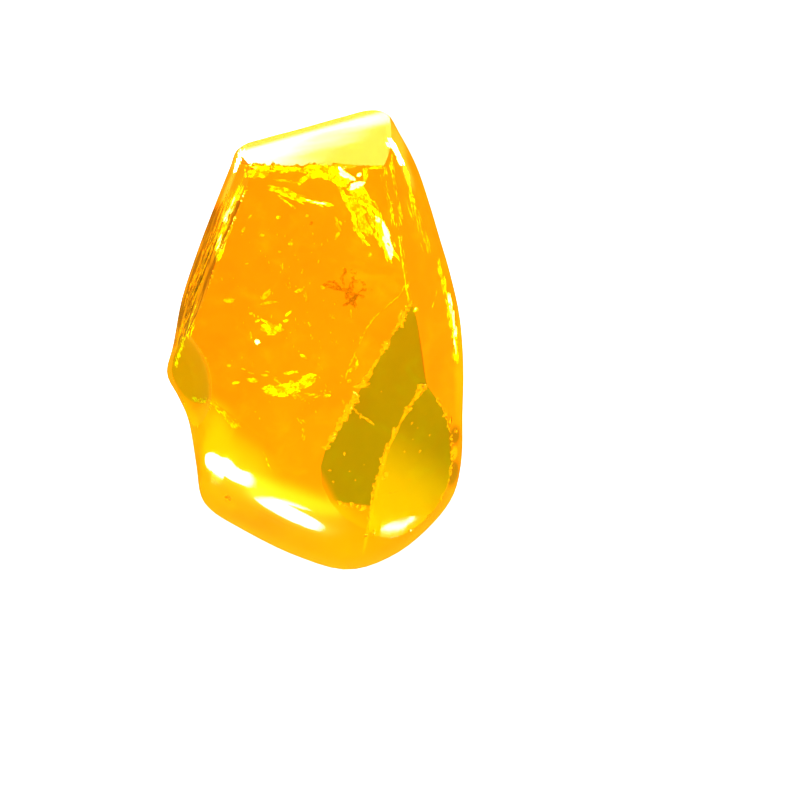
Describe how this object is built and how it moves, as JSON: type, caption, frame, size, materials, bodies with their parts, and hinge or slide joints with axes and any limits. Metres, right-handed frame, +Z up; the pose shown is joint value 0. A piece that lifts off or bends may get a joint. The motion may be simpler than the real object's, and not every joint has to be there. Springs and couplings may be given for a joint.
{
  "type": "polished yellow crystal stone",
  "caption": "Loose, clear yellow-orange crystal stone, polished to a long freeform with a flat front, a flat end, a rounded foot and broken faces.",
  "frame": {"origin": "centre of the bounding box, on the flat back that the stone lies on", "axes": "+Z up from the flat back to the front face, +Y along the stone from the rounded foot to the flat end, +X to the right with the front face up"},
  "size_m": [0.0372, 0.0576, 0.024],
  "materials": {
    "crystal": "polished, clear yellow-orange"
  },
  "bodies": {
    "root": {"stone": "crystal"}
  },
  "joints": []
}
